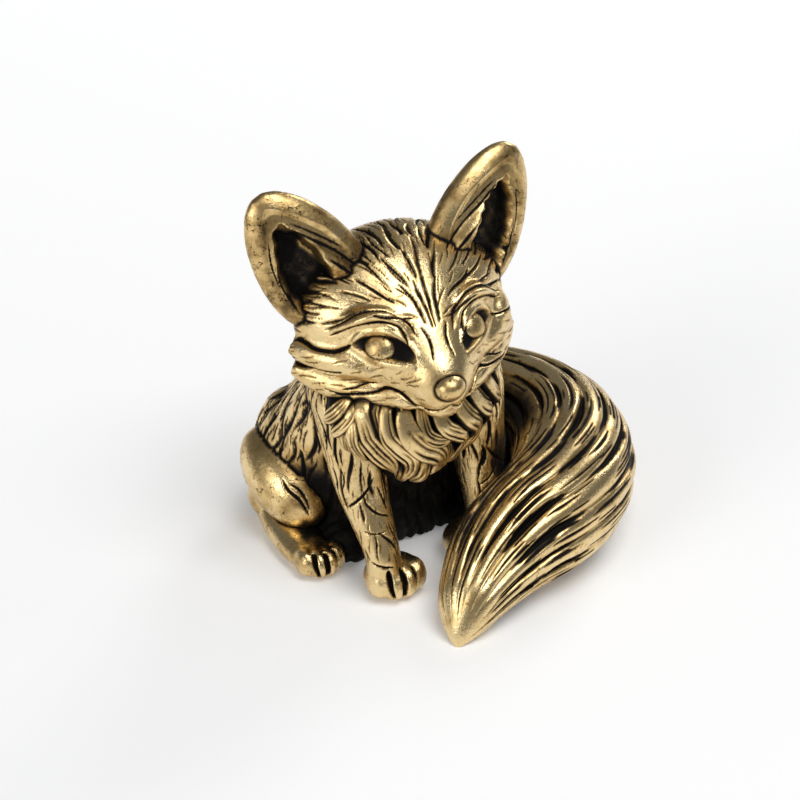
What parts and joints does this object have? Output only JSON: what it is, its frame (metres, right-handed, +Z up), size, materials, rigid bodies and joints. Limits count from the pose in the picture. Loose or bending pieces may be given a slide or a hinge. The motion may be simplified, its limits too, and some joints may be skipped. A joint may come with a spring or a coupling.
{
  "type": "fox figurine",
  "caption": "Small seated fox ornament in antiqued cast brass, with upright leaf-shaped ears, a thick chest ruff and a bushy tail curled round its left side to the front.",
  "frame": {"origin": "on the table under the seat, on the fox's middle plane", "axes": "+Z up, the fox looks along -Y, its left side is +X"},
  "size_m": [0.0376, 0.0377, 0.0388],
  "materials": {
    "brass_fur": "antiqued cast brass, dark patina left in the carved fur and the tops polished back",
    "brass_polished": "cast brass, hand polished over a brown patina",
    "brass_rod": "drawn rod, as cut"
  },
  "bodies": {
    "root": {"torso": "brass_fur", "head": "brass_fur", "chest_ruff": "brass_fur", "tail": "brass_fur", "right_foreleg": "brass_fur", "left_foreleg": "brass_fur", "right_thigh": "brass_polished", "left_thigh": "brass_polished", "right_hind_foot": "brass_polished", "left_hind_foot": "brass_polished", "right_ear": "brass_polished", "left_ear": "brass_polished", "right_eye": "brass_polished", "left_eye": "brass_polished", "nose": "brass_polished", "neck_dowel": "brass_rod", "ruff_dowel": "brass_rod", "tail_dowel": "brass_rod", "ear_dowels": "brass_rod", "foreleg_dowels": "brass_rod", "thigh_dowels": "brass_rod", "hind_foot_dowels": "brass_rod"}
  },
  "joints": []
}
